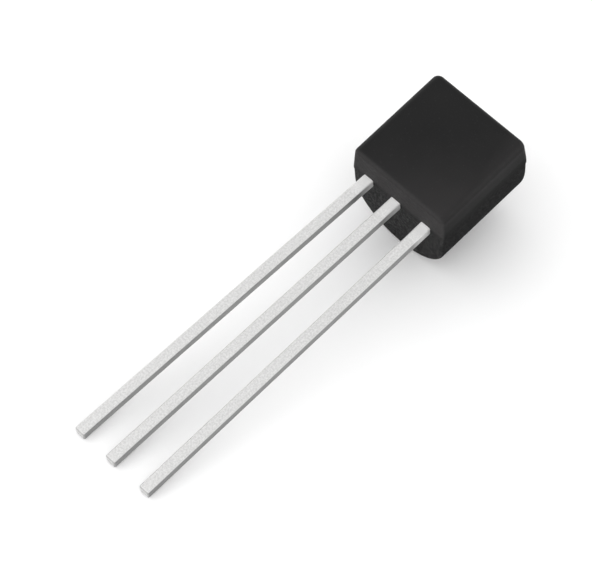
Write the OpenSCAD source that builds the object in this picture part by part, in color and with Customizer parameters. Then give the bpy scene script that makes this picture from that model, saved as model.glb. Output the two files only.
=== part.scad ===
// Three-lead transistor in a D-shaped moulded package.
// It lies at rest on its round back: the flat face is up, and the lead tips touch the surface.
//
// The pieces are drawn in a working frame and laid down at the end:
//   x  across the flat face, from the first lead to the third
//   y  from the lead plane towards the round back (the flat face is at minus y)
//   z  along the leads, away from the tips (the leads leave the body at z = 0)

/* [Body] */
// Width across the body at the parting line
body_w = 4.30; // [4.30:0.01:4.80]
// Width across the tapered sides at the level of the flat face, before the corners are rounded
flat_w = 4.14; // [4.00:0.02:4.20]
// Radius of the corners between the flat face and the sides
corner_r = 0.28; // [0.20:0.02:0.44]
// Height of the body at the parting line
body_h = 4.32; // [4.20:0.01:5.20]
// Distance from the lead plane to the flat face
flat_depth = 1.25; // [1.20:0.01:1.50]
// Distance from the lead plane to the round back
back_depth = 2.95; // [2.50:0.01:2.95]
// Radius of the round back
back_r = 2.09; // [2.00:0.01:2.12]
// Draft of the lead end in front of the parting line, in degrees
draft_lead_front = 3.0; // [1.0:0.1:6.0]
// Draft of the lead end behind the parting line, in degrees
draft_lead_back = 1.5; // [0.5:0.1:4.0]
// Draft of the far end, in degrees
draft_far_end = 5.0; // [2.0:0.1:7.0]
// Radius of the edges between the flat face and the body's two ends
edge_r = 0.18; // [0.05:0.01:0.20]

/* [Leads] */
// Width of a lead
lead_w = 0.42; // [0.38:0.01:0.50]
// Thickness of the lead strip
lead_t = 0.40; // [0.36:0.01:0.44]
// Length of a lead outside the body
lead_len = 13.40; // [12.70:0.05:14.50]
// Distance between leads where they leave the body
pitch = 1.335; // [1.270:0.005:1.340]
// How far each outer lead spreads by its tip
splay = 0.19; // [0.00:0.01:0.30]
// Sideways offset of the middle lead
mid_shift = -0.060; // [-0.080:0.005:0.080]
// How far all three tips stand to one side of where their leads leave the body
tip_drift = -0.24; // [-0.30:0.01:0.30]

/* [Lead frame] */
// Width of the anchor shoulders that lock a lead in the moulding
anchor_w = 0.62; // [0.56:0.02:0.70]
// Height of the emitter post's top
emitter_top = 2.85; // [2.60:0.05:3.20]
// Height of the base post's top
base_top = 1.55; // [1.40:0.05:1.60]
// Lowest edge of the collector paddle
paddle_z = 1.95; // [1.90:0.05:2.10]
// Height of the collector paddle
paddle_h = 1.60; // [1.40:0.05:1.75]

/* [Chip] */
// Side of the square chip
die_side = 0.62; // [0.50:0.02:0.80]
// Thickness of the chip
die_t = 0.20; // [0.15:0.01:0.25]
// Thickness of the layer under the chip
attach_t = 0.03; // [0.02:0.01:0.04]
// Thickness of a bond wire
wire_d = 0.05; // [0.04:0.01:0.06]
// Height of a bond wire's arch above its chord
wire_arch = 0.44; // [0.36:0.02:0.50]

/* [Hidden] */
$fn = 96;

half_w = body_w / 2;
half_flat = flat_w / 2;

// Round back: a circle, and the two straight sides that run to it from the parting line
back_c = back_depth - back_r;
back_dist = sqrt(half_w * half_w + back_c * back_c);
back_turn = atan2(-back_c, half_w) + acos(back_r / back_dist);
back_x = back_r * cos(back_turn);
back_y = back_c + back_r * sin(back_turn);

// Rounded corner between the flat face and a tapered side
taper = atan2(flat_depth, half_w - half_flat);    // direction of the side, from the flat outwards
corner_in = corner_r / tan((180 - taper) / 2);    // from the sharp corner to where the arc starts
corner_x = half_flat - corner_in;
side_tan_x = half_flat + corner_in * cos(taper);
side_tan_y = -flat_depth + corner_in * sin(taper);

// Lead stations
x_e = -pitch;
x_b = mid_shift;
x_c = pitch;
frame_y = -lead_t / 2;           // front surface of the lead frame

// Chip place on the paddle
die_x = 0.25;
die_z = paddle_z + paddle_h / 2;
die_face_v = attach_t + die_t;   // chip surface above the lead frame's front surface

// Bond points, as [x, z]
pad_e = [die_x - 0.14, die_z + 0.06];
pad_b = [die_x + 0.10, die_z - 0.16];
post_e = [x_e + 0.16, emitter_top - 0.40];
post_b = [x_b + 0.02, base_top - 0.28];
ball_r = 0.060;
ball_h = 0.050;
stitch_r = 0.055;
stitch_h = 0.030;

// Sideways offset of a tip, and the lean that it gives the lead. side is -1, 0 or 1 for the
// first, middle or third lead.
function tip_offset(side) = side * splay + tip_drift;
function lean(side) = asin(tip_offset(side) / lead_len);

// Rest: the lower edge of the round back and the lead tips meet the surface
tip_y = lead_t / 2;
tip_z = min([for (side = [-1, 0, 1])
    -lead_len * cos(lean(side)) - lead_w / 2 * abs(sin(lean(side)))]);
heel_z = back_depth * tan(draft_lead_back);
lay = atan2(back_depth - tip_y, heel_z - tip_z);

// A point of the working frame, as laid down but not yet moved: [along, up]
function laid(y, z) = [y * sin(lay) + z * cos(lay), -y * cos(lay) + z * sin(lay)];
floor_z = laid(tip_y, tip_z)[1];
y_low = laid(-lead_t / 2, tip_z)[0];
y_high = laid(back_depth, body_h - back_depth * tan(draft_far_end))[0];
y_mid = (y_low + y_high) / 2;

// Puts the working frame down on the surface, with the origin under the middle of the part
module laid_down() {
    translate([0, -y_mid, -floor_z]) rotate([lay - 90, 0, 0]) children();
}

// Section of the body across its height: flat, tapered sides, straight sides, round back
module d_section() {
    polygon([
        [-corner_x, -flat_depth], [corner_x, -flat_depth],
        [side_tan_x, side_tan_y], [half_w, 0],
        [back_x, back_y], [-back_x, back_y],
        [-half_w, 0], [-side_tan_x, side_tan_y]
    ]);
    intersection() {
        translate([0, back_c]) circle(r = back_r);
        translate([-half_w, 0]) square([body_w, back_depth + 1]);
    }
    for (s = [-1, 1])
        translate([s * corner_x, -flat_depth + corner_r]) circle(r = corner_r);
}

// Side view of the body, in y and z. Both ends fall away from the parting line, the flat
// face's two end edges are rounded, and the profile runs on past the round back.
module side_profile() {
    cy = -flat_depth + edge_r;
    low = -cy * tan(draft_lead_front) + edge_r / cos(draft_lead_front);
    top = body_h + cy * tan(draft_far_end) - edge_r / cos(draft_far_end);
    far = back_depth + 1;
    polygon([
        [-flat_depth, low],
        [cy - edge_r * sin(draft_lead_front), low - edge_r * cos(draft_lead_front)],
        [0, 0],
        [far, far * tan(draft_lead_back)],
        [far, body_h - far * tan(draft_far_end)],
        [0, body_h],
        [cy - edge_r * sin(draft_far_end), top + edge_r * cos(draft_far_end)],
        [-flat_depth, top]
    ]);
    // A hair over edge_r, so that each arc crosses its straight neighbours
    for (z = [low, top]) translate([cy, z]) circle(r = edge_r + 0.0005);
}

// The whole moulding, before the pieces inside are taken away
module envelope() {
    intersection() {
        translate([0, 0, -1]) linear_extrude(height = body_h + 2) d_section();
        // y and z of the side view, drawn out along x
        rotate([90, 0, 90]) translate([0, 0, -half_w - 1])
            linear_extrude(height = body_w + 2) side_profile();
    }
}

// A stamped strip: its outline in x and z, and its thickness about the lead plane
module strip(outline) {
    rotate([90, 0, 0]) translate([0, 0, -lead_t / 2])
        linear_extrude(height = lead_t) polygon(outline);
}

// Outer part of a lead, from its left edge at the body round the tip to its right edge.
function outer_points(x, side) = let(
        a = lean(side),
        tx = x + tip_offset(side),
        tz = -lead_len * cos(a),
        wx = lead_w / 2 * cos(a),
        wz = lead_w / 2 * sin(a)
    ) [
        [x - lead_w / 2, 0],
        [tx - wx, tz - wz],
        [tx + wx, tz + wz],
        [x + lead_w / 2, 0]
    ];

// Stem inside the moulding with its anchor shoulders, right side going up from the body's end
function stem_right(x) = [
    [x + lead_w / 2, 0.40], [x + anchor_w / 2, 0.46],
    [x + anchor_w / 2, 0.68], [x + lead_w / 2, 0.74]
];
function stem_left(x) = [
    [x - lead_w / 2, 0.74], [x - anchor_w / 2, 0.68],
    [x - anchor_w / 2, 0.46], [x - lead_w / 2, 0.40]
];

module emitter_shape() {
    strip(concat(outer_points(x_e, -1), stem_right(x_e), [
        [x_e + lead_w / 2, 1.05], [x_e + 0.42, 1.25],
        [x_e + 0.42, emitter_top], [x_e - 0.30, emitter_top],
        [x_e - 0.30, 1.25], [x_e - lead_w / 2, 1.05]
    ], stem_left(x_e)));
}

module base_shape() {
    strip(concat(outer_points(x_b, 0), stem_right(x_b), [
        [x_b + lead_w / 2, 0.86], [x_b + 0.40, 0.98],
        [x_b + 0.40, base_top], [x_b - 0.40, base_top],
        [x_b - 0.40, 0.98], [x_b - lead_w / 2, 0.86]
    ], stem_left(x_b)));
}

module collector_shape() {
    strip(concat(outer_points(x_c, 1), stem_right(x_c), [
        [x_c + lead_w / 2, 1.45], [x_c + 0.40, 1.65],
        [x_c + 0.40, paddle_z + paddle_h], [-0.60, paddle_z + paddle_h],
        [-0.60, paddle_z], [x_c - 0.35, paddle_z], [x_c - lead_w / 2, paddle_z - 0.20]
    ], stem_left(x_c)));
}

// Square layer or chip lying on the lead frame's front surface, from v0 to v1 above it
module on_frame(side, v0, v1) {
    translate([die_x - side / 2, frame_y - v1, die_z - side / 2])
        cube([side, v1 - v0, side]);
}

module attach_shape() on_frame(die_side + 0.08, 0, attach_t);
module die_shape() on_frame(die_side, attach_t, die_face_v);

// Bond wire: a ball on the chip, an arch of round wire, and a flat stitch on the post.
// In its own plane, u runs from the ball to the stitch and v is the height above the frame.
module bond(pad, post) {
    du = norm(post - pad);
    turn = atan2(post[1] - pad[1], post[0] - pad[0]);
    va = die_face_v + ball_h / 2;
    vb = stitch_h * 0.6;
    chord = sqrt(du * du + (va - vb) * (va - vb));
    rad = (chord * chord / 4 + wire_arch * wire_arch) / (2 * wire_arch);
    fall = atan2(vb - va, du);                 // direction of the chord, below the level
    half = asin(chord / 2 / rad);
    cu = du / 2 + (rad - wire_arch) * sin(fall);
    cv = (va + vb) / 2 - (rad - wire_arch) * cos(fall);
    translate([pad[0], frame_y, pad[1]]) rotate([0, -turn, 0]) rotate([180, 0, 0]) {
        translate([cu, cv, 0]) rotate([0, 0, 90 + fall - half])
            rotate_extrude(angle = 2 * half) translate([rad, 0]) circle(r = wire_d / 2);
        translate([0, die_face_v, 0]) rotate([-90, 0, 0]) cylinder(r = ball_r, h = ball_h);
        translate([du, 0, 0]) rotate([-90, 0, 0]) cylinder(r = stitch_r, h = stitch_h);
    }
}

module package_body() color("#303030") laid_down() difference() {
    envelope();
    emitter_shape();
    base_shape();
    collector_shape();
    attach_shape();
    die_shape();
    bond(pad_e, post_e);
    bond(pad_b, post_b);
}
module emitter_lead() color("#d4d5d3") laid_down() emitter_shape();
module base_lead() color("#d4d5d3") laid_down() base_shape();
module collector_lead() color("#d4d5d3") laid_down() collector_shape();
module die_attach() color("#b9b39a") laid_down() attach_shape();
module silicon_die() color("#5d6470") laid_down() die_shape();
module emitter_bond_wire() color("#e0b24a") laid_down() bond(pad_e, post_e);
module base_bond_wire() color("#e0b24a") laid_down() bond(pad_b, post_b);

package_body();
emitter_lead();
base_lead();
collector_lead();
die_attach();
silicon_die();
emitter_bond_wire();
base_bond_wire();
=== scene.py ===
import math

import bmesh
import bpy
from mathutils import Matrix, Vector


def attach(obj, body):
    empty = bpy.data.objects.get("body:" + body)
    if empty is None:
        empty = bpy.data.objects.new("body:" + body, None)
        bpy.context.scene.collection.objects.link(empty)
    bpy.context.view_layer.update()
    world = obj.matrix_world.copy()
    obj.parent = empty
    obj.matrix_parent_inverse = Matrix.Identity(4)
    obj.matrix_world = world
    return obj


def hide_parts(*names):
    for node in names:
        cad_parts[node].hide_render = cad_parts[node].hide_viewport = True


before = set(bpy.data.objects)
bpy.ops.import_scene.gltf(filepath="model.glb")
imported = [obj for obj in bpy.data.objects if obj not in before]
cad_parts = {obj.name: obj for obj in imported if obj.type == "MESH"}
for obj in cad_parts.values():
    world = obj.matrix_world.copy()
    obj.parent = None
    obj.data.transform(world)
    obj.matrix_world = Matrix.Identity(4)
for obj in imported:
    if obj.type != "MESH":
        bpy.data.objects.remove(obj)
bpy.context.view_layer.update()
scene = bpy.context.scene

MM = 0.001

# ---------------------------------------------------------------- sizes, as in the CAD
BODY_W, FLAT_W, BODY_H = 4.2998, 4.14, 4.32
FLAT_DEPTH, BACK_DEPTH, BACK_R = 1.25, 2.95, 2.09
DRAFT_FRONT, DRAFT_BACK, DRAFT_FAR = map(math.radians, (3.0, 1.5, 5.0))
CORNER_R, EDGE_R = 0.28, 0.18
LEAD_W, LEAD_T, LEAD_LEN = 0.42, 0.40, 13.40
PITCH, SPLAY, MID, DRIFT = 1.335, 0.19, -0.060, -0.24
ANCHOR_W, EMITTER_TOP, BASE_TOP, PADDLE_Z, PADDLE_H = 0.62, 2.85, 1.55, 1.95, 1.60


def tip_offset(side):
    return side * SPLAY + DRIFT


def lean(side):
    return math.asin(tip_offset(side) / LEAD_LEN)


# ---------------------------------------------------------------- working frame to row frame
tip_y = LEAD_T / 2
tip_z = min(-LEAD_LEN * math.cos(lean(s)) - LEAD_W / 2 * abs(math.sin(lean(s))) for s in (-1, 0, 1))
LAY = math.atan2(BACK_DEPTH - tip_y, BACK_DEPTH * math.tan(DRAFT_BACK) - tip_z)
SIN, COS = math.sin(LAY), math.cos(LAY)


def laid(y, z):
    return y * SIN + z * COS, -y * COS + z * SIN


FLOOR_Z = laid(tip_y, tip_z)[1]
Y_MID = (laid(-LEAD_T / 2, tip_z)[0] + laid(BACK_DEPTH, BODY_H - BACK_DEPTH * math.tan(DRAFT_FAR))[0]) / 2


def place(p):
    """A point of the working frame (mm) in the row frame (m)."""
    y, z = laid(p[1], p[2])
    return Vector((p[0] * MM, (y - Y_MID) * MM, (z - FLOOR_Z) * MM))


def new_object(name, bm_or_mesh):
    if isinstance(bm_or_mesh, bmesh.types.BMesh):
        mesh = bpy.data.meshes.new(name)
        bm_or_mesh.to_mesh(mesh)
        bm_or_mesh.free()
    else:
        mesh = bm_or_mesh
    ob = bpy.data.objects.new(name, mesh)
    scene.collection.objects.link(ob)
    return ob


def bake_modifiers(ob):
    """The object's mesh becomes what its modifiers make of it."""
    dg = bpy.context.evaluated_depsgraph_get()
    made = bpy.data.meshes.new_from_object(ob.evaluated_get(dg), preserve_all_data_layers=True, depsgraph=dg)
    old = ob.data
    ob.modifiers.clear()
    ob.data = made
    made.name = ob.name
    bpy.data.meshes.remove(old)


def mark_sharp(ob, degrees):
    """Smooth faces, with every edge that turns by more than this kept sharp, and no slivers."""
    bm = bmesh.new()
    bm.from_mesh(ob.data)
    bmesh.ops.remove_doubles(bm, verts=bm.verts, dist=0.0005 * MM)
    bmesh.ops.dissolve_degenerate(bm, edges=bm.edges, dist=0.0002 * MM)
    for f in bm.faces:
        f.smooth = True
    for e in bm.edges:
        e.smooth = not (len(e.link_faces) == 2 and e.calc_face_angle(0) > math.radians(degrees))
    bm.to_mesh(ob.data)
    bm.free()


# ---------------------------------------------------------------- the moulding
STEP = 0.012          # the back mould half stands in by this much at the parting plane
STEP_END = 0.004      # and by this much at the lead end
SOFT = 0.20           # the drafted faces flatten out over this distance from the parting plane


def rounded(y):
    """Distance from the parting plane, eased so that a drafted face starts level there."""
    return math.sqrt(y * y + SOFT * SOFT) - SOFT


def edge_radius(where, y, n):
    """Radius of the body's end edges: softest where the tapered sides meet the far end."""
    t = min(1.0, max(0.0, y / 0.9))
    t = t * t * (3 - 2 * t)
    if where == "high":
        return EDGE_R + 0.06 * abs(n[0]) - (0.06 * abs(n[0]) + 0.07) * t
    return EDGE_R - 0.06 * t


def arc(centre, radius, a0, a1, steps):
    """(point, normal) pairs along an arc, from a0 up to but not including a1."""
    out = []
    for i in range(steps):
        a = a0 + (a1 - a0) * i / steps
        out.append(((centre[0] + radius * math.cos(a), centre[1] + radius * math.sin(a)), (math.cos(a), math.sin(a))))
    return out


def mirrored(half, middle):
    return half + [middle] + [((-p[0], p[1]), (-q[0], q[1])) for p, q in reversed(half)]


def front_outline():
    """(point, normal) round the front mould half, from +x round the flat to -x."""
    hw, hf = BODY_W / 2, FLAT_W / 2
    taper = math.atan2(FLAT_DEPTH, hw - hf)
    hf += (hw - hf) * (1 - rounded(FLAT_DEPTH) / FLAT_DEPTH)
    cut = CORNER_R / math.tan((math.pi - taper) / 2)
    n = (math.sin(taper), -math.cos(taper))
    b = (hf + cut * math.cos(taper), -FLAT_DEPTH + cut * math.sin(taper))
    slope = (hw - b[0]) / rounded(b[1])
    half = []
    for i in range(14):
        y = b[1] * i / 14
        a = math.atan(slope * y / math.hypot(y, SOFT))
        half.append(((hw - slope * rounded(y), y), (math.cos(a), math.sin(a))))
    x = hf - cut
    half += arc((x, -FLAT_DEPTH + CORNER_R), CORNER_R, math.atan2(n[1], n[0]), -math.pi / 2, 16)
    half += [((x - x * i / 12, -FLAT_DEPTH), (0.0, -1.0)) for i in range(12)]
    return mirrored(half, ((0.0, -FLAT_DEPTH), (0.0, -1.0)))


def back_outline():
    """(point, normal) round the back mould half, from +x round the curved back to -x."""
    hw = BODY_W / 2 - STEP
    bc = BACK_DEPTH - BACK_R
    turn = math.atan2(-bc, hw) + math.acos(BACK_R / math.hypot(hw, bc))
    n = (math.cos(turn), math.sin(turn))
    e = (BACK_R * n[0], bc + BACK_R * n[1])
    half = [((hw + (e[0] - hw) * i / 5, e[1] * i / 5), n) for i in range(5)]
    half += arc((0.0, bc), BACK_R, turn, math.pi / 2, 48)
    return mirrored(half, ((0.0, BACK_DEPTH), (0.0, 1.0)))


def half_shell(bm, outline, near, far, low_in, high_in):
    """One mould half: its wall with rounded ends and its two end faces. Returns its two edge columns."""
    steps = 8
    rings = [("low", math.pi / 2 * (1 - k / steps)) for k in range(steps + 1)]
    rings += [("wall", k / 16) for k in range(1, 16)]
    rings += [("high", math.pi / 2 * k / steps) for k in range(steps + 1)]
    grid = []
    last = len(outline) - 1
    for where, t in rings:
        row = []
        for i, (p, n) in enumerate(outline):
            r_low, r_high = edge_radius("low", p[1], n), edge_radius("high", p[1], n)
            r = r_high if where == "high" else r_low
            inset = 0.0 if where == "wall" else r * (1 - math.cos(t))
            if i in (0, last):                       # stays on the parting plane
                q = (p[0] - math.copysign(inset / abs(n[0]), p[0]), 0.0)
            else:
                q = (p[0] - n[0] * inset, p[1] - n[1] * inset)
            z0 = low_in + abs(q[1]) * near
            z1 = BODY_H - high_in - rounded(q[1]) * far
            if where == "low":
                z = z0 + r * (1 - math.sin(t))
            elif where == "high":
                z = z1 - r * (1 - math.sin(t))
            else:
                z = (z0 + r_low) + (z1 - r_high - z0 - r_low) * t
            row.append(bm.verts.new(place((q[0], q[1], z))))
        grid.append(row)
    for a, b in zip(grid, grid[1:]):
        for i in range(last):
            bm.faces.new((a[i], a[i + 1], b[i + 1], b[i]))
    bm.faces.new(list(reversed(grid[0])))
    bm.faces.new(grid[-1])
    return [row[0] for row in grid], [row[-1] for row in grid]


def build_body():
    bm = bmesh.new()
    fr, fl = half_shell(bm, front_outline(), math.tan(DRAFT_FRONT), math.tan(DRAFT_FAR), 0.0, 0.0)
    br, bl = half_shell(bm, back_outline(), math.tan(DRAFT_BACK), math.tan(DRAFT_FAR), STEP_END, STEP)
    # the step between the two halves, on the parting plane
    front_loop = fr + list(reversed(fl))
    back_loop = br + list(reversed(bl))
    n = len(front_loop)
    for i in range(n):
        j = (i + 1) % n
        bm.faces.new((front_loop[i], front_loop[j], back_loop[j], back_loop[i]))
    bmesh.ops.recalc_face_normals(bm, faces=bm.faces)
    return new_object("moulded_body", bm)


# ---------------------------------------------------------------- the leads
def outer_points(x, side):
    a = lean(side)
    tx, tz = x + tip_offset(side), -LEAD_LEN * math.cos(a)
    wx, wz = LEAD_W / 2 * math.cos(a), LEAD_W / 2 * math.sin(a)
    return [(x - LEAD_W / 2, 0.0), (tx - wx, tz - wz), (tx + wx, tz + wz), (x + LEAD_W / 2, 0.0)]


def stem_right(x):
    return [(x + LEAD_W / 2, 0.40), (x + ANCHOR_W / 2, 0.46), (x + ANCHOR_W / 2, 0.68), (x + LEAD_W / 2, 0.74)]


def stem_left(x):
    return [(x - LEAD_W / 2, 0.74), (x - ANCHOR_W / 2, 0.68), (x - ANCHOR_W / 2, 0.46), (x - LEAD_W / 2, 0.40)]


X_E, X_B, X_C = -PITCH, MID, PITCH
OUTLINES = {
    "emitter_lead": outer_points(X_E, -1) + stem_right(X_E) + [
        (X_E + LEAD_W / 2, 1.05), (X_E + 0.42, 1.25), (X_E + 0.42, EMITTER_TOP), (X_E - 0.30, EMITTER_TOP),
        (X_E - 0.30, 1.25), (X_E - LEAD_W / 2, 1.05)] + stem_left(X_E),
    "base_lead": outer_points(X_B, 0) + stem_right(X_B) + [
        (X_B + LEAD_W / 2, 0.86), (X_B + 0.40, 0.98), (X_B + 0.40, BASE_TOP), (X_B - 0.40, BASE_TOP),
        (X_B - 0.40, 0.98), (X_B - LEAD_W / 2, 0.86)] + stem_left(X_B),
    "collector_lead": outer_points(X_C, 1) + stem_right(X_C) + [
        (X_C + LEAD_W / 2, 1.45), (X_C + 0.40, 1.65), (X_C + 0.40, PADDLE_Z + PADDLE_H), (-0.60, PADDLE_Z + PADDLE_H),
        (-0.60, PADDLE_Z), (X_C - 0.35, PADDLE_Z), (X_C - LEAD_W / 2, PADDLE_Z - 0.20)] + stem_left(X_C),
}
BEVEL = 0.060


def build_lead(node, name):
    """A stamped strip with softly rounded edges."""
    bm = bmesh.new()
    outline = OUTLINES[node]
    front = [bm.verts.new((x, -LEAD_T / 2, z)) for x, z in outline]
    back = [bm.verts.new((x, LEAD_T / 2, z)) for x, z in outline]
    n = len(outline)
    bm.faces.new(front)
    bm.faces.new(list(reversed(back)))
    for i in range(n):
        j = (i + 1) % n
        bm.faces.new((front[j], front[i], back[i], back[j]))
    bmesh.ops.recalc_face_normals(bm, faces=bm.faces)
    sharp = [e for e in bm.edges if e.calc_face_angle(0) > math.radians(12)]
    bmesh.ops.bevel(bm, geom=sharp, offset=BEVEL, offset_type="OFFSET", segments=5, profile=0.5,
                    affect="EDGES", clamp_overlap=True)
    bmesh.ops.remove_doubles(bm, verts=bm.verts, dist=0.0005)
    for v in bm.verts:
        v.co = place(v.co)
    for f in bm.faces:
        f.smooth = True
    bmesh.ops.recalc_face_normals(bm, faces=bm.faces)
    ob = new_object(name, bm)
    return ob


# ---------------------------------------------------------------- materials
def material(name):
    m = bpy.data.materials.new(name)
    m.use_nodes = True
    nt = m.node_tree
    nt.nodes.clear()
    out = nt.nodes.new("ShaderNodeOutputMaterial")
    bsdf = nt.nodes.new("ShaderNodeBsdfPrincipled")
    nt.links.new(bsdf.outputs[0], out.inputs[0])
    return m, nt, bsdf


def node(nt, kind, **values):
    n = nt.nodes.new(kind)
    for k, v in values.items():
        if hasattr(n, k):
            setattr(n, k, v)
        else:
            n.inputs[k].default_value = v
    return n


def working_coords(nt):
    """Object coordinates turned back into the working frame, in millimetres."""
    tc = nt.nodes.new("ShaderNodeTexCoord")
    shift = nt.nodes.new("ShaderNodeVectorMath")
    shift.operation = "SUBTRACT"
    origin = place((0, 0, 0))
    shift.inputs[1].default_value = origin
    nt.links.new(tc.outputs["Object"], shift.inputs[0])
    turn = nt.nodes.new("ShaderNodeVectorRotate")
    turn.rotation_type = "X_AXIS"
    turn.inputs["Angle"].default_value = -(LAY - math.pi / 2)
    nt.links.new(shift.outputs[0], turn.inputs["Vector"])
    big = nt.nodes.new("ShaderNodeVectorMath")
    big.operation = "SCALE"
    big.inputs["Scale"].default_value = 1 / MM
    nt.links.new(turn.outputs[0], big.inputs[0])
    return big.outputs[0]


def noise(nt, vec, scale, detail=3.0, rough=0.55, stretch=None):
    if stretch:
        mp = nt.nodes.new("ShaderNodeMapping")
        mp.inputs["Scale"].default_value = stretch
        nt.links.new(vec, mp.inputs["Vector"])
        vec = mp.outputs[0]
    n = nt.nodes.new("ShaderNodeTexNoise")
    n.inputs["Scale"].default_value = scale
    n.inputs["Detail"].default_value = detail
    n.inputs["Roughness"].default_value = rough
    nt.links.new(vec, n.inputs["Vector"])
    return n.outputs[0]


def ramp(nt, fac, lo, hi, out_lo, out_hi):
    r = nt.nodes.new("ShaderNodeMapRange")
    r.inputs["From Min"].default_value = lo
    r.inputs["From Max"].default_value = hi
    r.inputs["To Min"].default_value = out_lo
    r.inputs["To Max"].default_value = out_hi
    nt.links.new(fac, r.inputs["Value"])
    return r.outputs[0]


def math_node(nt, op, a, b=None, clamp=False):
    m = nt.nodes.new("ShaderNodeMath")
    m.operation = op
    m.use_clamp = clamp
    for i, v in enumerate((a, b)):
        if v is None:
            continue
        if isinstance(v, (int, float)):
            m.inputs[i].default_value = v
        else:
            nt.links.new(v, m.inputs[i])
    return m.outputs[0]


def mix_colour(nt, fac, a, b):
    m = nt.nodes.new("ShaderNodeMix")
    m.data_type = "RGBA"
    for sock, v in ((m.inputs[0], fac), (m.inputs[6], a), (m.inputs[7], b)):
        if isinstance(v, (int, float)):
            sock.default_value = v
        elif isinstance(v, tuple):
            sock.default_value = (*v, 1.0)
        else:
            nt.links.new(v, sock)
    return m.outputs[2]


def bump(nt, height, strength, distance, normal=None):
    b = nt.nodes.new("ShaderNodeBump")
    b.inputs["Strength"].default_value = strength
    b.inputs["Distance"].default_value = distance
    nt.links.new(height, b.inputs["Height"])
    if normal is not None:
        nt.links.new(normal, b.inputs["Normal"])
    return b.outputs[0]


def working_normal(nt):
    """The surface normal's parts across, through and along the working frame."""
    tc = nt.nodes.new("ShaderNodeTexCoord")
    parts = []
    for axis in ((1.0, 0.0, 0.0), (0.0, SIN, -COS), (0.0, COS, SIN)):
        d = nt.nodes.new("ShaderNodeVectorMath")
        d.operation = "DOT_PRODUCT"
        nt.links.new(tc.outputs["Normal"], d.inputs[0])
        d.inputs[1].default_value = axis
        parts.append(d.outputs["Value"])
    return parts


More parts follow.
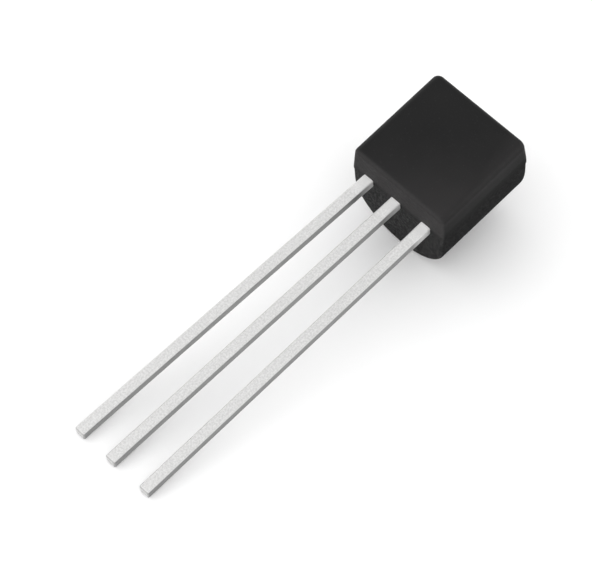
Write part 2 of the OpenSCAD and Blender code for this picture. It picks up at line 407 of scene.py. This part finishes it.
def epoxy_material():
    m, nt, p = material("moulded_epoxy")
    v = working_coords(nt)
    sep = nt.nodes.new("ShaderNodeSeparateXYZ")
    nt.links.new(v, sep.inputs[0])
    x, y, z = sep.outputs
    nx, ny, nz = working_normal(nt)
    cloud = noise(nt, v, 0.55, 3, 0.5)                      # slow change across a face
    grain = noise(nt, v, 26, 4, 0.62)                       # spark-eroded mould texture
    filler = noise(nt, v, 60, 1, 0.5)                       # filler specks
    specks = noise(nt, v, 17, 2, 0.5)                       # and the few larger grains among them
    across, through, along = (math_node(nt, "ABSOLUTE", n) for n in (nx, ny, nz))
    # the eroded texture: fine on the flat face, coarser on the back half and both ends
    coarse = noise(nt, v, 11, 3, 0.55)
    where = math_node(nt, "MAXIMUM", ramp(nt, y, -0.30, 0.15, 0.0, 1.0), math_node(nt, "MULTIPLY", along, 0.6))
    # the back mould half is eroded rougher than the front one, and the texture fades across the parting plane
    wall = ramp(nt, along, 0.35, 0.85, 1.0, 0.0)
    rough_half = math_node(nt, "MULTIPLY", ramp(nt, y, -0.45, 0.25, 0.0, 1.0), wall)
    # edges painted paler, partly edge wear and partly painted highlight: where the normal lies between the front
    # half's faces, and round the two ends
    front = math_node(nt, "SUBTRACT", 1.0, math_node(nt, "MAXIMUM", across, math_node(nt, "MAXIMUM", through, along)))
    front = math_node(nt, "MULTIPLY", front, ramp(nt, y, -0.10, 0.0, 1.0, 0.0))
    front = math_node(nt, "MULTIPLY", front, ramp(nt, nz, -0.2, -0.6, 1.0, 0.45))
    round_wall = math_node(nt, "SQRT", math_node(nt, "SUBTRACT", 1.0, math_node(nt, "MULTIPLY", nz, nz), clamp=True))
    ends = math_node(nt, "SUBTRACT", 1.0, math_node(nt, "MAXIMUM", round_wall, along))
    ends = math_node(nt, "MULTIPLY", ends, ramp(nt, y, 0.0, 0.8, 1.0, 0.0))
    edge_wear_and_highlight = ramp(nt, math_node(nt, "MAXIMUM", front, ends), 0.0, 0.24, 0.0, 1.0)
    edge_wear_and_highlight = math_node(nt, "MULTIPLY", edge_wear_and_highlight, ramp(nt, noise(nt, v, 3.0, 4, 0.6), 0.3, 0.65, 0.55, 1.0))
    # painted highlight: the flat face is painted paler, slightly warm, towards one corner of the lead end
    reach = math_node(nt, "ADD", math_node(nt, "SUBTRACT", x, z), ramp(nt, cloud, 0.2, 0.8, -0.5, 0.5))
    corner_painted_highlight = math_node(nt, "MULTIPLY", ramp(nt, reach, -3.2, 2.4, 0.0, 1.0), ramp(nt, ny, -0.5, -1.0, 0.0, 1.0))
    corner_painted_highlight = math_node(nt, "POWER", corner_painted_highlight, 1.5)
    # the painted highlight also runs up the edge that the flat shares with the third lead's side
    painted_rim_highlight = math_node(nt, "ADD", x, ramp(nt, cloud, 0.2, 0.8, -0.15, 0.15))
    painted_rim_highlight = math_node(nt, "MULTIPLY", ramp(nt, painted_rim_highlight, 1.30, 1.80, 0.0, 1.0), ramp(nt, y, -0.30, -0.95, 0.0, 1.0))
    painted_rim_highlight = math_node(nt, "MULTIPLY", painted_rim_highlight, ramp(nt, nz, 0.35, 0.75, 1.0, 0.0))
    painted_rim_highlight = math_node(nt, "MULTIPLY", painted_rim_highlight, ramp(nt, across, 0.5, 1.0, 0.42, 0.36))
    corner_painted_highlight = math_node(nt, "MAXIMUM", corner_painted_highlight, painted_rim_highlight)
    c = mix_colour(nt, ramp(nt, cloud, 0.3, 0.7, 0, 1), (0.0064, 0.0064, 0.0066), (0.0083, 0.0082, 0.0082))
    c = mix_colour(nt, ramp(nt, filler, 0.66, 0.76, 0, 0.5), c, (0.024, 0.024, 0.024))
    c = mix_colour(nt, ramp(nt, specks, 0.64, 0.72, 0, 0.45), c, (0.024, 0.024, 0.024))
    c = mix_colour(nt, math_node(nt, "MULTIPLY", corner_painted_highlight, 0.55), c, (0.0352, 0.0326, 0.0334))
    # the tops of the coarse texture are scuffed paler, and its hollows stay dark
    tops = math_node(nt, "MULTIPLY", ramp(nt, coarse, 0.48, 0.64, 0.0, 0.50), where)
    c = mix_colour(nt, tops, c, (0.022, 0.022, 0.022))
    hollows = math_node(nt, "MULTIPLY", ramp(nt, coarse, 0.54, 0.36, 0.0, 0.90), where)
    c = mix_colour(nt, hollows, c, (0.0025, 0.0025, 0.0026))
    # painted shade: the front half's sides are painted darker than its edges, and made a little rougher
    rough_sides_and_painted_shade = math_node(nt, "MULTIPLY", ramp(nt, y, -1.0, -0.75, 0.0, 1.0), ramp(nt, y, -0.32, -0.12, 1.0, 0.0))
    rough_sides_and_painted_shade = math_node(nt, "MULTIPLY", rough_sides_and_painted_shade, wall)
    c = mix_colour(nt, math_node(nt, "MULTIPLY", rough_sides_and_painted_shade, 0.20), c, (0.0020, 0.0020, 0.0021))
    # painted reflection: the front half of the lead end is painted paler, standing in for the bright floor it
    # reflects
    painted_floor_reflection = math_node(nt, "MULTIPLY", ramp(nt, nz, -0.30, -0.85, 0.0, 1.0), ramp(nt, y, -0.05, -0.30, 0.0, 1.0))
    painted_floor_reflection = math_node(nt, "MULTIPLY", painted_floor_reflection, ramp(nt, x, -2.0, -0.9, 0.68, 1.0))
    painted_floor_reflection = math_node(nt, "MULTIPLY", painted_floor_reflection, ramp(nt, noise(nt, v, 2.0, 4, 0.6), 0.3, 0.7, 0.75, 1.0))
    c = mix_colour(nt, painted_floor_reflection, c, (0.0280, 0.0264, 0.0268))
    # the paler edges: part wear, part painted highlight
    c = mix_colour(nt, math_node(nt, "MULTIPLY", edge_wear_and_highlight, 0.50), c, (0.034, 0.033, 0.033))
    nt.links.new(c, p.inputs["Base Color"])
    r = math_node(nt, "ADD", ramp(nt, cloud, 0.3, 0.7, 0.44, 0.52), ramp(nt, grain, 0.3, 0.7, -0.04, 0.04))
    r = math_node(nt, "ADD", r, math_node(nt, "MULTIPLY", rough_half, 0.48))
    r = math_node(nt, "ADD", r, math_node(nt, "MULTIPLY", rough_sides_and_painted_shade, 0.04))
    # at the two ends the texture's hollows are matt and its tops are polished
    ended = math_node(nt, "MULTIPLY", ramp(nt, y, -0.15, 0.15, 0.0, 1.0), ramp(nt, along, 0.6, 0.95, 0.0, 1.0))
    ended = math_node(nt, "MULTIPLY", ended, ramp(nt, x, 0.5, 1.4, 1.0, 0.55))
    r = math_node(nt, "ADD", r, math_node(nt, "MULTIPLY", ended, ramp(nt, coarse, 0.40, 0.60, 0.08, -0.11)))
    r = math_node(nt, "ADD", r, ramp(nt, math_node(nt, "MAXIMUM", across, along), 0.3, 1.0, 0.0, 0.20), clamp=True)
    nt.links.new(r, p.inputs["Roughness"])
    p.inputs["Specular IOR Level"].default_value = 0.142
    level = math_node(nt, "MULTIPLY", math_node(nt, "SUBTRACT", coarse, 0.5), where)
    n1 = bump(nt, noise(nt, v, 5, 2, 0.5), 0.35, 4e-6)
    n2 = bump(nt, level, 1.0, 4.5e-5, n1)
    n3 = bump(nt, grain, 0.55, 2.5e-6, n2)
    nt.links.new(n3, p.inputs["Normal"])
    return m


def tin_material():
    m, nt, p = material("tinned_metal")
    v = working_coords(nt)
    sep = nt.nodes.new("ShaderNodeSeparateXYZ")
    nt.links.new(v, sep.inputs[0])
    geo = nt.nodes.new("ShaderNodeTexCoord")
    nsep = nt.nodes.new("ShaderNodeSeparateXYZ")
    nt.links.new(geo.outputs["Normal"], nsep.inputs[0])
    streak = noise(nt, v, 9, 3, 0.6, (1.0, 1.0, 0.07))      # drawn along the strip
    mottle = noise(nt, v, 2.2, 4, 0.6)                       # plating that dries unevenly
    grain = noise(nt, v, 30, 3, 0.6)
    pits = noise(nt, v, 15, 2, 0.6)                          # fine pits of the matt plating
    side = ramp(nt, math_node(nt, "ABSOLUTE", nsep.outputs[0]), 0.55, 0.95, 0, 1)   # sheared edges
    c = mix_colour(nt, ramp(nt, mottle, 0.35, 0.65, 0, 1), (0.684, 0.682, 0.677), (0.704, 0.701, 0.696))
    c = mix_colour(nt, ramp(nt, streak, 0.35, 0.75, 0.0, 0.12), c, (0.52, 0.518, 0.514))
    c = mix_colour(nt, ramp(nt, pits, 0.36, 0.62, 0.0, 0.48), c, (0.40, 0.398, 0.395))
    # the long edges are painted lighter, partly burnished and partly a painted highlight against the shade they
    # reflect; the sheared flanks between them are dull and darker, and darker still on the third lead as painted
    # shade that evens out the extra light it catches
    sideways = math_node(nt, "ABSOLUTE", nsep.outputs[0])
    burnish_and_painted_highlight = math_node(nt, "MULTIPLY", ramp(nt, sideways, 0.25, 0.60, 0.0, 0.38), ramp(nt, sideways, 0.80, 0.97, 1.0, 0.0))
    c = mix_colour(nt, burnish_and_painted_highlight, c, (0.90, 0.897, 0.892))
    sheared = ramp(nt, sideways, 0.70, 0.985, 0, 1)
    flank_depth_with_painted_shade = ramp(nt, sep.outputs[0], 0.75, 1.05, 0.78, 0.86)
    sheared_flank_and_painted_shade = math_node(nt, "MULTIPLY", sheared, math_node(nt, "MULTIPLY", flank_depth_with_painted_shade, ramp(nt, sep.outputs[2], -0.90, -0.10, 1.0, 0.0)))
    c = mix_colour(nt, sheared_flank_and_painted_shade, c, (0.19, 0.19, 0.19))
    # the cut end of the tip is duller, and the edge round it is darkened as painted shade over its highlight; the
    # last half millimetre by the body is painted light, most on its upward faces, over the body's dark reflection,
    # and made matt
    along = working_normal(nt)[2]
    tip = ramp(nt, along, -0.25, -0.85, 0.0, 1.0)
    tip_edge_painted_shade = math_node(nt, "MULTIPLY", ramp(nt, along, -0.12, -0.45, 0.0, 1.0), ramp(nt, along, -0.90, -0.99, 1.0, 0.0))
    c = mix_colour(nt, math_node(nt, "MULTIPLY", tip_edge_painted_shade, 0.9), c, (0.40, 0.398, 0.394))
    root = ramp(nt, sep.outputs[2], -0.80, -0.10, 0.0, 1.0)
    root = math_node(nt, "MULTIPLY", root, ramp(nt, nsep.outputs[2], -0.3, 0.9, 0.5, 1.0))
    c = mix_colour(nt, root, c, (0.94, 0.94, 0.935))
    nt.links.new(c, p.inputs["Base Color"])
    p.inputs["Metallic"].default_value = 1.0
    r = ramp(nt, mottle, 0.35, 0.65, 0.30, 0.35)
    r = math_node(nt, "ADD", r, ramp(nt, streak, 0.3, 0.7, -0.03, 0.05))
    r = math_node(nt, "ADD", r, math_node(nt, "MULTIPLY", side, 0.06))
    r = math_node(nt, "ADD", r, math_node(nt, "MULTIPLY", tip, 0.25))
    r = math_node(nt, "ADD", r, math_node(nt, "MULTIPLY", root, 0.35))
    nt.links.new(r, p.inputs["Roughness"])
    n1 = bump(nt, streak, 0.30, 3e-6)
    n2 = bump(nt, grain, 0.30, 1.2e-6, n1)
    nt.links.new(n2, p.inputs["Normal"])
    return m


def simple_metal(name, a, b, r0, r1, scale, metallic=1.0, depth=1.0e-6):
    m, nt, p = material(name)
    v = working_coords(nt)
    f = noise(nt, v, scale, 3, 0.6)
    g = noise(nt, v, scale * 7, 2, 0.6)
    nt.links.new(mix_colour(nt, ramp(nt, f, 0.3, 0.7, 0, 1), a, b), p.inputs["Base Color"])
    nt.links.new(ramp(nt, g, 0.3, 0.7, r0, r1), p.inputs["Roughness"])
    p.inputs["Metallic"].default_value = metallic
    nt.links.new(bump(nt, g, 0.4, depth), p.inputs["Normal"])
    return m


def set_material(ob, mat):
    ob.data.materials.clear()
    ob.data.materials.append(mat)
    for slot in ob.material_slots:
        slot.link = "DATA"


# ---------------------------------------------------------------- make the pieces
leads = {}
for cad, name in (("emitter_lead", "emitter_strip"), ("base_lead", "base_strip"), ("collector_lead", "collector_strip")):
    leads[cad] = build_lead(cad, name)

body = build_body()
for cutter in leads.values():
    md = body.modifiers.new("pocket", "BOOLEAN")
    md.operation, md.solver, md.object = "DIFFERENCE", "EXACT", cutter
bake_modifiers(body)

for ob in (body, *leads.values()):
    mark_sharp(ob, 28 if ob is body else 40)
    md = ob.modifiers.new("normals", "WEIGHTED_NORMAL")
    md.mode, md.weight, md.keep_sharp = "FACE_AREA", 80, True

epoxy, tin = epoxy_material(), tin_material()
set_material(body, epoxy)
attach(body, "root")
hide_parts("package_body")
for cad, ob in leads.items():
    set_material(ob, tin)
    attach(ob, "root")
    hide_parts(cad)

inner = {
    "die_attach": simple_metal("die_attach_silver", (0.62, 0.60, 0.55), (0.72, 0.70, 0.66), 0.5, 0.7, 6),
    "silicon_die": simple_metal("silicon", (0.10, 0.11, 0.14), (0.16, 0.17, 0.21), 0.10, 0.2, 4, 0.6, 2e-7),
    "emitter_bond_wire": simple_metal("gold_wire", (0.86, 0.62, 0.22), (0.93, 0.72, 0.33), 0.2, 0.32, 12),
}
inner["base_bond_wire"] = inner["emitter_bond_wire"]
for name, mat in inner.items():
    set_material(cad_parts[name], mat)

# ---------------------------------------------------------------- floor, light and camera
bm = bmesh.new()
bmesh.ops.create_grid(bm, x_segments=8, y_segments=8, size=1.5)
floor = new_object("studio_floor", bm)
fm, nt, p = material("pale_floor")
tc = nt.nodes.new("ShaderNodeTexCoord")
f = noise(nt, tc.outputs["Object"], 40, 2, 0.5)
nt.links.new(mix_colour(nt, f, (0.945, 0.945, 0.945), (0.965, 0.965, 0.965)), p.inputs["Base Color"])
p.inputs["Roughness"].default_value = 0.9
p.inputs["Specular IOR Level"].default_value = 0.1
set_material(floor, fm)

world = bpy.data.worlds.new("studio")
scene.world = world
world.use_nodes = True
bg = world.node_tree.nodes["Background"]
bg.inputs[0].default_value = (1.0, 1.0, 1.0, 1.0)
wt = world.node_tree
tc = wt.nodes.new("ShaderNodeTexCoord")
sep = wt.nodes.new("ShaderNodeSeparateXYZ")
wt.links.new(tc.outputs["Generated"], sep.inputs[0])
toward = wt.nodes.new("ShaderNodeVectorMath")
toward.operation = "DOT_PRODUCT"
wt.links.new(tc.outputs["Generated"], toward.inputs[0])
toward.inputs[1].default_value = Vector((-0.35, -0.88, 0.32)).normalized()
sky = math_node(wt, "ADD", ramp(wt, sep.outputs[2], 0.0, 0.9, 0.84, 1.10), ramp(wt, toward.outputs["Value"], 0.38, 1.0, 0.0, 0.8))
wt.links.new(sky, bg.inputs[1])


def area(name, where, target, size, power, size_y=None):
    light = bpy.data.lights.new(name, "AREA")
    light.energy = power
    light.shape = "RECTANGLE"
    light.size, light.size_y = size, size_y or size
    ob = bpy.data.objects.new(name, light)
    scene.collection.objects.link(ob)
    ob.location = where
    ob.rotation_mode = "QUATERNION"
    ob.rotation_quaternion = (Vector(target) - Vector(where)).to_track_quat("-Z", "Y")
    ob.visible_camera = False
    return ob


area("key", (-0.14, -0.20, 0.26), (0, 0, 0), 0.40, 0.10)

cam_data = bpy.data.cameras.new("camera")
cam_data.sensor_fit = "HORIZONTAL"
cam_data.sensor_width = 36.0
cam_data.lens = 3381.1487 * 36.0 / 592.0
cam_data.clip_start, cam_data.clip_end = 0.005, 20.0
cam = bpy.data.objects.new("camera", cam_data)
scene.collection.objects.link(cam)
right = Vector((0.71447456, 0.69284525, 0.09742464))
up = Vector((-0.61339939, 0.55330388, 0.56355657))
back = Vector((0.33655207, -0.46240705, 0.82031240))
rot = Matrix((right, up, back)).transposed()
cam.matrix_world = Matrix.Translation(Vector((38.01663, -52.90825, 95.58972)) * MM) @ rot.to_4x4()
scene.camera = cam

scene.view_settings.view_transform = "Standard"
